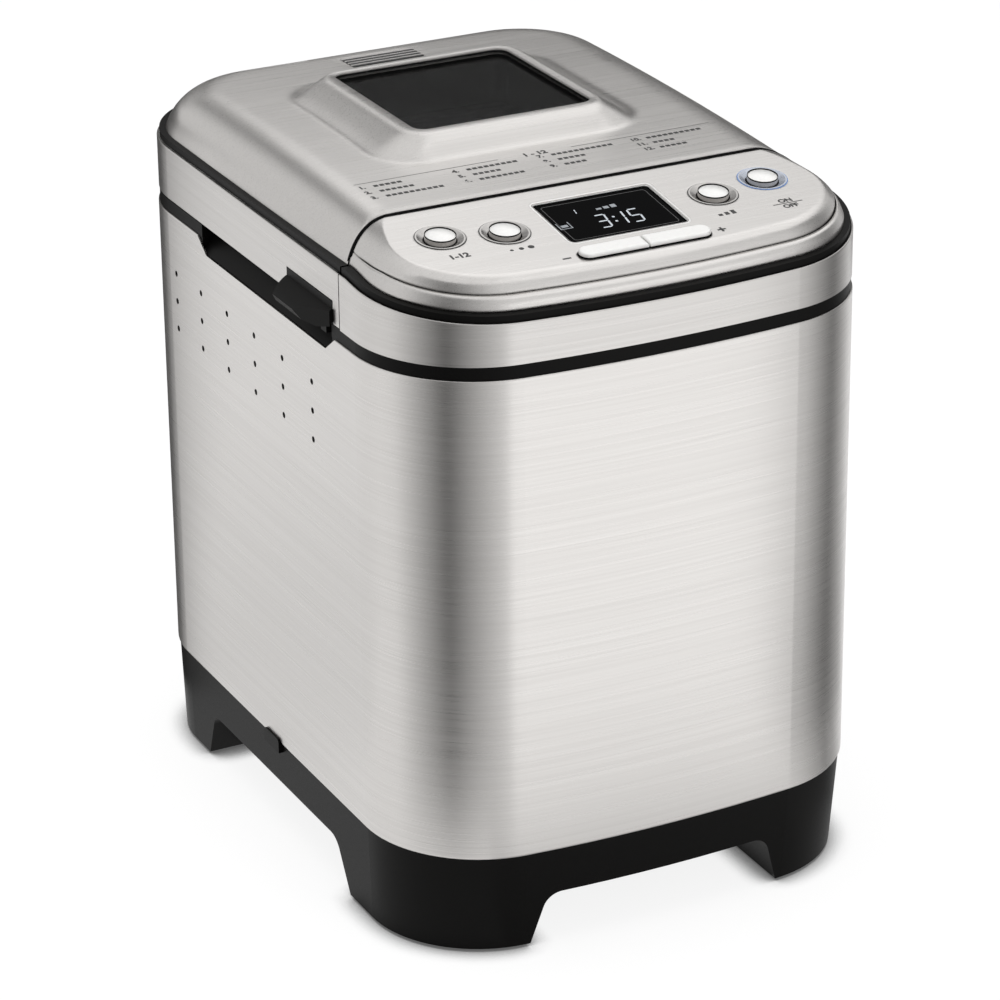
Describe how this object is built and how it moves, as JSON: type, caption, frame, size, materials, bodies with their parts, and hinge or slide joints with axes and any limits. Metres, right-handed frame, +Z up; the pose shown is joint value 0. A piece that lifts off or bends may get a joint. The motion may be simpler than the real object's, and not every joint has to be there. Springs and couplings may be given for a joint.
{
  "type": "bread machine",
  "caption": "Compact bread machine with a steel body on a black base, hinged lid with window, sloping control head with display and buttons, bread pan, kneading paddle and belt drive.",
  "frame": {"origin": "on the floor below the middle of the whole machine, hinge overhang included", "axes": "+Z up, front faces -Y, +X to the right seen from the front"},
  "size_m": [0.2752, 0.3604, 0.3706],
  "materials": {
    "brushed_steel": "fine horizontal brush, satin",
    "black_plastic": "fine moulded texture",
    "rubber": "matte",
    "oven_steel": "aluminised sheet",
    "heater_sheath": "oxidised sheath",
    "cast_alloy": "as cast",
    "bronze": "sintered",
    "plated_steel": "zinc plated",
    "capacitor_can": "drawn can",
    "circuit_board": "laminate",
    "switch_black": "moulded",
    "button_silver": "silver lacquer",
    "start_blue": "tinted",
    "display_black": "polished",
    "window_glass": "tinted",
    "nonstick": "cast, dark nonstick coating"
  },
  "bodies": {
    "root": {"base_moulding": "black_plastic", "foot_pads": "rubber", "cord_gland": "rubber", "body_wrap": "brushed_steel", "top_collar": "black_plastic", "chamber": "oven_steel", "heating_element": "heater_sheath", "element_clips": "oven_steel", "temperature_sensor": "oven_steel", "pan_socket": "oven_steel", "bearing_housing": "cast_alloy", "drive_bushes": "bronze", "chassis_plate": "oven_steel", "chassis_screws": "plated_steel", "motor_body": "cast_alloy", "motor_capacitor": "capacitor_can", "power_board": "circuit_board", "drive_belt": "rubber", "head_trim": "brushed_steel", "head_band": "black_plastic", "head_shell": "black_plastic", "control_panel": "brushed_steel", "button_rings": "button_silver", "start_ring": "start_blue", "display_lens": "display_black", "display_module": "display_black", "control_board": "circuit_board", "tact_switches": "switch_black", "hinge_brackets": "plated_steel", "hinge_pins": "plated_steel"},
    "lid": {"lid_trim": "brushed_steel", "lid_band": "black_plastic", "lid_cover": "brushed_steel", "lid_liner": "oven_steel", "window_glass": "window_glass", "window_seal": "rubber", "window_frame": "black_plastic", "inner_glass": "window_glass", "lid_tab_left": "black_plastic", "lid_tab_right": "black_plastic", "lid_knuckles": "plated_steel", "lid_screws": "plated_steel"},
    "program_button": {"program_button": "button_silver"},
    "crust_button": {"crust_button": "button_silver"},
    "size_button": {"size_button": "button_silver"},
    "start_button": {"start_button": "button_silver"},
    "minus_key": {"minus_key": "button_silver"},
    "plus_key": {"plus_key": "button_silver"},
    "drive": {"drive_shaft": "plated_steel", "drive_coupling": "plated_steel", "large_pulley": "cast_alloy", "shaft_circlip": "plated_steel"},
    "rotor": {"motor_shaft": "plated_steel", "small_pulley": "cast_alloy"},
    "pan": {"bread_pan": "nonstick", "pan_base": "cast_alloy", "pan_ears": "plated_steel"},
    "paddle": {"pan_shaft": "plated_steel", "kneading_paddle": "nonstick"},
    "bail": {"bail_handle": "plated_steel"}
  },
  "joints": [
    {"name": "lid_hinge", "type": "hinge", "parent": "root", "child": "lid", "pos_m": [0, 0.1747, 0.306], "axis": [-1, 0, 0], "range_deg": [0, 95]},
    {"name": "program_button_press", "type": "slide", "parent": "root", "child": "program_button", "axis": [0, 0.1289, -0.9917], "range_m": [0, 0.0012], "stiffness_N_per_m": 1500},
    {"name": "crust_button_press", "type": "slide", "parent": "root", "child": "crust_button", "axis": [0, 0.1289, -0.9917], "range_m": [0, 0.0012], "stiffness_N_per_m": 1500},
    {"name": "size_button_press", "type": "slide", "parent": "root", "child": "size_button", "axis": [0, 0.1289, -0.9917], "range_m": [0, 0.0012], "stiffness_N_per_m": 1500},
    {"name": "start_button_press", "type": "slide", "parent": "root", "child": "start_button", "axis": [0, 0.1289, -0.9917], "range_m": [0, 0.0012], "stiffness_N_per_m": 1500},
    {"name": "minus_key_press", "type": "slide", "parent": "root", "child": "minus_key", "axis": [0, 0.1289, -0.9917], "range_m": [0, 0.0012], "stiffness_N_per_m": 1500},
    {"name": "plus_key_press", "type": "slide", "parent": "root", "child": "plus_key", "axis": [0, 0.1289, -0.9917], "range_m": [0, 0.0012], "stiffness_N_per_m": 1500},
    {"name": "drive_spin", "type": "hinge", "parent": "root", "child": "drive", "pos_m": [0, 0.0362, 0.08], "axis": [0, 0, 1], "continuous": true},
    {"name": "rotor_spin", "type": "hinge", "parent": "root", "child": "rotor", "pos_m": [0, -0.1208, 0.08], "axis": [0, 0, 1], "continuous": true},
    {"name": "pan_twist", "type": "hinge", "parent": "root", "child": "pan", "pos_m": [0, 0.0362, 0.11], "axis": [0, 0, 1], "range_deg": [0, 15]},
    {"name": "paddle_spin", "type": "hinge", "parent": "pan", "child": "paddle", "pos_m": [0, 0.0362, 0.12], "axis": [0, 0, 1], "continuous": true},
    {"name": "bail_swing", "type": "hinge", "parent": "pan", "child": "bail", "pos_m": [0, 0.0362, 0.274], "axis": [1, 0, 0], "range_deg": [0, 176]}
  ],
  "couplings": [
    {"joint": "rotor_spin", "follows": "drive_spin", "ratio": 5},
    {"joint": "paddle_spin", "follows": "drive_spin", "ratio": 1}
  ]
}
